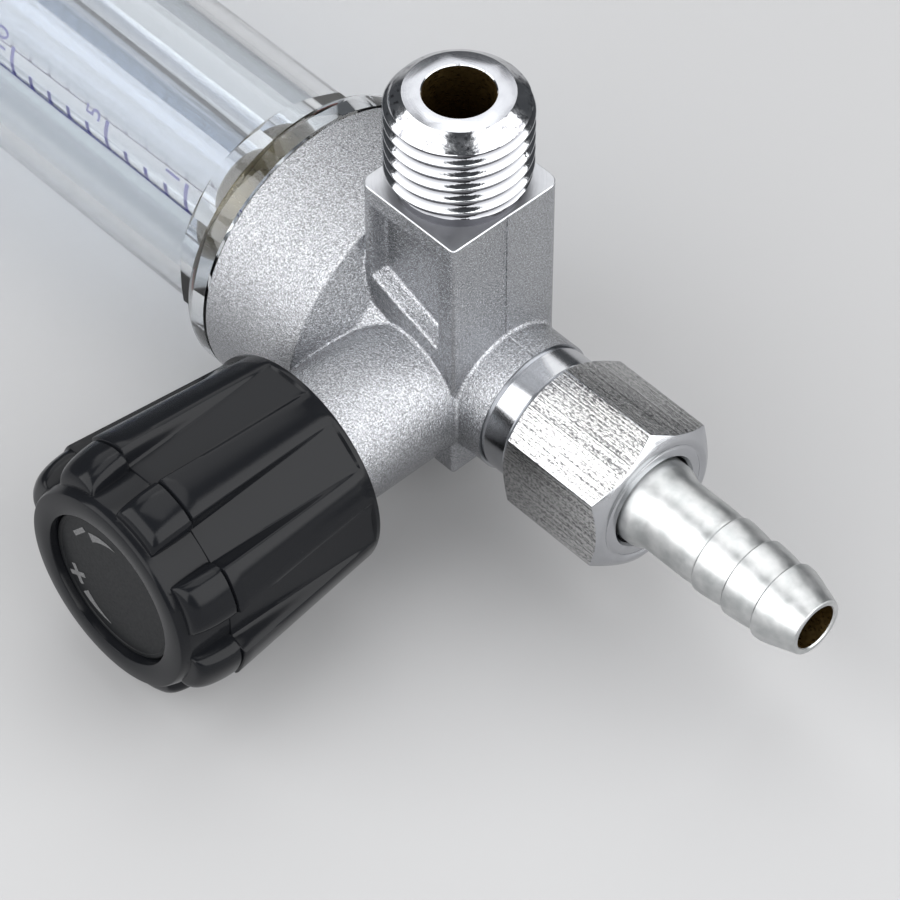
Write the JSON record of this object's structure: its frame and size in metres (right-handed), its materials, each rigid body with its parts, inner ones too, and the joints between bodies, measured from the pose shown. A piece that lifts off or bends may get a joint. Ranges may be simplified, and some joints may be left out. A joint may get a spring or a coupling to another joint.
{
  "type": "gas flow regulator",
  "caption": "Variable-area gas flow regulator: clear flow tube, needle valve with a fluted knob, male threaded inlet, and a union nut holding a barbed hose tail.",
  "frame": {"origin": "under the middle of the object's bounding box, on the surface that it lies on", "axes": "+X out of the hose tail, opposite the flow tube; +Z out of the inlet; the knob points along -Y"},
  "size_m": [0.1598, 0.0594, 0.0495],
  "materials": {
    "satin_chrome": "forged brass, satin pearl chrome plating",
    "bright_chrome": "brass, bright chrome over milled flats",
    "nickel": "turned brass, satin nickel plating",
    "brass": "turned, unplated",
    "steel": "zinc plated",
    "float_steel": "polished ball",
    "black_plastic": "moulded, glossy",
    "label_disc": "moulded, satin, with pale printed arrows",
    "white_plastic": "moulded",
    "clear_cover": "clear polycarbonate",
    "clear_tube": "clear polycarbonate with a blue printed scale",
    "red_rubber": "silicone",
    "black_rubber": "nitrile"
  },
  "bodies": {
    "regulator": {"valve_body": "satin_chrome", "outer_cover": "clear_cover", "cover_o_ring": "red_rubber", "tube_holder": "brass", "holder_gasket": "black_rubber", "flow_tube": "clear_tube", "flow_tube_o_ring": "black_rubber", "lower_float_stop": "white_plastic", "upper_float_stop": "white_plastic", "tube_spacer": "white_plastic", "tube_cushion": "black_rubber", "valve_seat": "white_plastic", "gland_nut": "brass", "gland_o_ring": "black_rubber"},
    "float": {"float_ball": "float_steel"},
    "spindle_lift": {"spindle_clip": "steel"},
    "knob_and_spindle": {"needle_spindle": "brass", "knob": "black_plastic", "knob_washer": "steel", "knob_screw": "steel", "knob_disc": "label_disc"},
    "hose_connection": {"hose_tail": "nickel", "outlet_gasket": "black_rubber"},
    "nut": {"union_nut": "bright_chrome"}
  },
  "joints": [
    {"name": "float_rise", "type": "slide", "parent": "regulator", "child": "float", "axis": [-1, 0, 0], "range_m": [0, 0.0735]},
    {"name": "spindle_travel", "type": "slide", "parent": "regulator", "child": "spindle_lift", "axis": [0, -1, 0], "range_m": [0, 0.0015]},
    {"name": "knob_turn", "type": "hinge", "parent": "spindle_lift", "child": "knob_and_spindle", "pos_m": [0.0326, 0.01431, 0.01543], "axis": [0, -1, 0], "range_deg": [0, 720]},
    {"name": "tail_travel", "type": "slide", "parent": "regulator", "child": "hose_connection", "axis": [1, 0, 0], "range_m": [0, 0.005]},
    {"name": "nut_turn", "type": "hinge", "parent": "hose_connection", "child": "nut", "pos_m": [0.0326, 0.01431, 0.01543], "axis": [1, 0, 0], "range_deg": [0, 1440]}
  ],
  "couplings": [
    {"joint": "spindle_travel", "follows": "knob_turn", "m_per_rad": 0.00011937},
    {"joint": "tail_travel", "follows": "nut_turn", "m_per_rad": 0.00019894}
  ]
}
